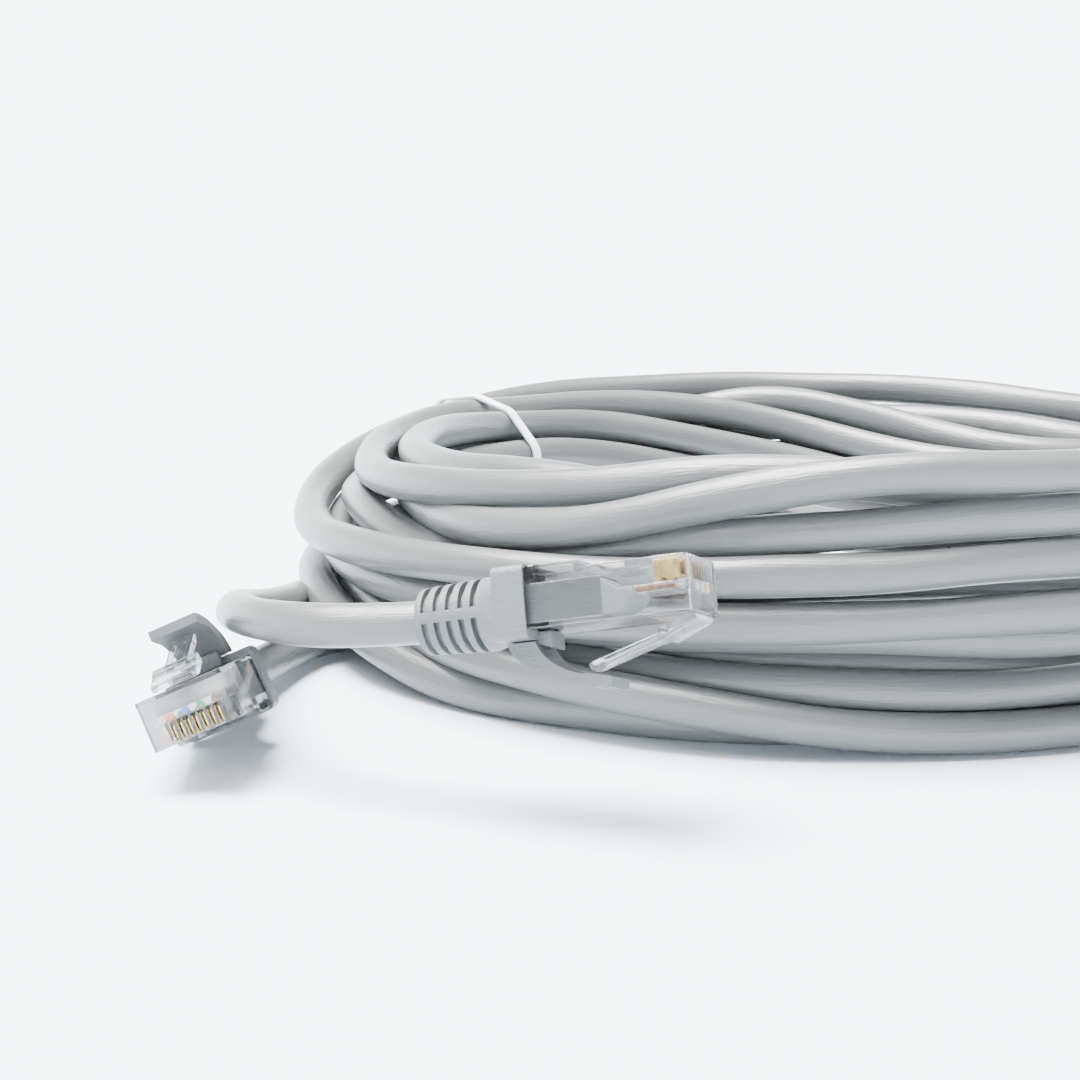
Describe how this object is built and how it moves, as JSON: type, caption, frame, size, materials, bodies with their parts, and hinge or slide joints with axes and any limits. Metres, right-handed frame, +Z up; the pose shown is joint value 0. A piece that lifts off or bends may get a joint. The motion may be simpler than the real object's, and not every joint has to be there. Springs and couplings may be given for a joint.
{
  "type": "network patch cord",
  "caption": "Coiled network patch cord with a clear modular plug and ribbed snagless boot on each end, held by a thin tie.",
  "frame": {"origin": "centre of the whole object's box, on the plane that the coil lies on", "axes": "+Z up, along the coil's axis; +Y away from the side where the two plugs lie; +X from the plugs towards the coil's far side"},
  "size_m": [0.1744, 0.1922, 0.0396],
  "materials": {
    "jacket": "satin light grey PVC jacket",
    "boot": "soft matte grey PVC",
    "clear_plastic": "clear moulded polycarbonate",
    "contact": "thin gold plating",
    "tie": "white coated strip",
    "wire_white_orange": "extruded core insulation",
    "wire_orange": "extruded core insulation",
    "wire_white_green": "extruded core insulation",
    "wire_blue": "extruded core insulation",
    "wire_white_blue": "extruded core insulation",
    "wire_green": "extruded core insulation",
    "wire_white_brown": "extruded core insulation",
    "wire_brown": "extruded core insulation"
  },
  "bodies": {
    "cord": {"boot_a": "boot", "boot_b": "boot", "coil": "jacket", "jacket_end_a": "jacket", "jacket_end_b": "jacket", "lead_a": "jacket", "lead_b": "jacket", "plug_a_contact_1": "contact", "plug_a_contact_2": "contact", "plug_a_contact_3": "contact", "plug_a_contact_4": "contact", "plug_a_contact_5": "contact", "plug_a_contact_6": "contact", "plug_a_contact_7": "contact", "plug_a_contact_8": "contact", "plug_a_housing": "clear_plastic", "plug_a_wire_1": "wire_white_orange", "plug_a_wire_2": "wire_orange", "plug_a_wire_3": "wire_white_green", "plug_a_wire_4": "wire_blue", "plug_a_wire_5": "wire_white_blue", "plug_a_wire_6": "wire_green", "plug_a_wire_7": "wire_white_brown", "plug_a_wire_8": "wire_brown", "plug_b_contact_1": "contact", "plug_b_contact_2": "contact", "plug_b_contact_3": "contact", "plug_b_contact_4": "contact", "plug_b_contact_5": "contact", "plug_b_contact_6": "contact", "plug_b_contact_7": "contact", "plug_b_contact_8": "contact", "plug_b_housing": "clear_plastic", "plug_b_wire_1": "wire_white_orange", "plug_b_wire_2": "wire_orange", "plug_b_wire_3": "wire_white_green", "plug_b_wire_4": "wire_blue", "plug_b_wire_5": "wire_white_blue", "plug_b_wire_6": "wire_green", "plug_b_wire_7": "wire_white_brown", "plug_b_wire_8": "wire_brown", "tie": "tie"},
    "latch_a": {"plug_a_latch": "clear_plastic"},
    "tongue_a": {"boot_a_tongue": "boot"},
    "latch_b": {"plug_b_latch": "clear_plastic"},
    "tongue_b": {"boot_b_tongue": "boot"}
  },
  "joints": [
    {"name": "tongue_a_press", "type": "hinge", "parent": "cord", "child": "tongue_a", "pos_m": [-0.03706, -0.08544, 0.02036], "axis": [-0.3509, -0.8864, 0.3019], "range_deg": [0, 24], "stiffness_Nm_per_rad": 0.02},
    {"name": "latch_a_press", "type": "hinge", "parent": "cord", "child": "latch_a", "pos_m": [-0.01849, -0.09113, 0.02523], "axis": [0.3509, 0.8864, -0.3019], "range_deg": [0, 14.4], "stiffness_Nm_per_rad": 0.01},
    {"name": "tongue_b_press", "type": "hinge", "parent": "cord", "child": "tongue_b", "pos_m": [-0.08118, -0.05734, 0.01149], "axis": [0.9144, 0.0075, 0.4047], "range_deg": [0, 24], "stiffness_Nm_per_rad": 0.02},
    {"name": "latch_b_press", "type": "hinge", "parent": "cord", "child": "latch_b", "pos_m": [-0.08212, -0.07719, 0.01398], "axis": [-0.9144, -0.0075, -0.4047], "range_deg": [0, 14.4], "stiffness_Nm_per_rad": 0.01}
  ],
  "couplings": [
    {"joint": "latch_a_press", "follows": "tongue_a_press", "ratio": 0.6},
    {"joint": "latch_b_press", "follows": "tongue_b_press", "ratio": 0.6}
  ]
}
